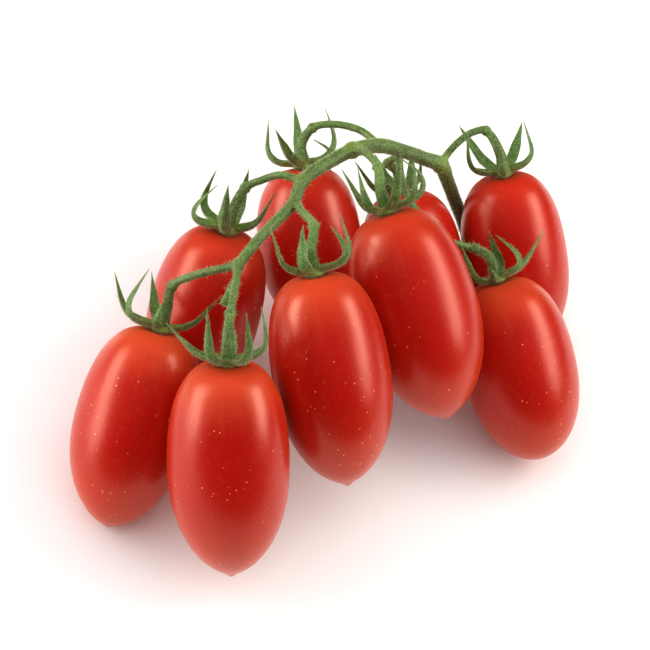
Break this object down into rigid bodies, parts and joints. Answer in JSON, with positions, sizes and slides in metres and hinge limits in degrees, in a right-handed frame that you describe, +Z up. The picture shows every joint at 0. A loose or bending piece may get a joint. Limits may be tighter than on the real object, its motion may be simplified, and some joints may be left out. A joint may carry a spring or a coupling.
{
  "type": "truss of tomatoes",
  "caption": "Picked truss of plum tomatoes lying on its side: glossy elongated fruits, each under a star of sepals, on one curved branching stem.",
  "frame": {"origin": "on the surface that the truss lies on, under the middle of its bounding box", "axes": "+Z up from the surface; +Y away from the viewer, along the truss from the fruits' tips towards the stem; +X to the viewer's right"},
  "size_m": [0.1346, 0.1598, 0.0834],
  "materials": {
    "fruit_skin": "glossy, waxy ripe skin",
    "sepal_green": "matt, downy",
    "stem_green": "matt, downy"
  },
  "bodies": {
    "root": {"tomato_1": "fruit_skin", "tomato_2": "fruit_skin", "tomato_3": "fruit_skin", "tomato_4": "fruit_skin", "tomato_5": "fruit_skin", "tomato_6": "fruit_skin", "tomato_7": "fruit_skin", "tomato_8": "fruit_skin", "tomato_9": "fruit_skin", "calyx_1": "sepal_green", "calyx_2": "sepal_green", "calyx_3": "sepal_green", "calyx_4": "sepal_green", "calyx_5": "sepal_green", "calyx_6": "sepal_green", "calyx_7": "sepal_green", "calyx_8": "sepal_green", "calyx_9": "sepal_green", "truss_stem": "stem_green"}
  },
  "joints": []
}
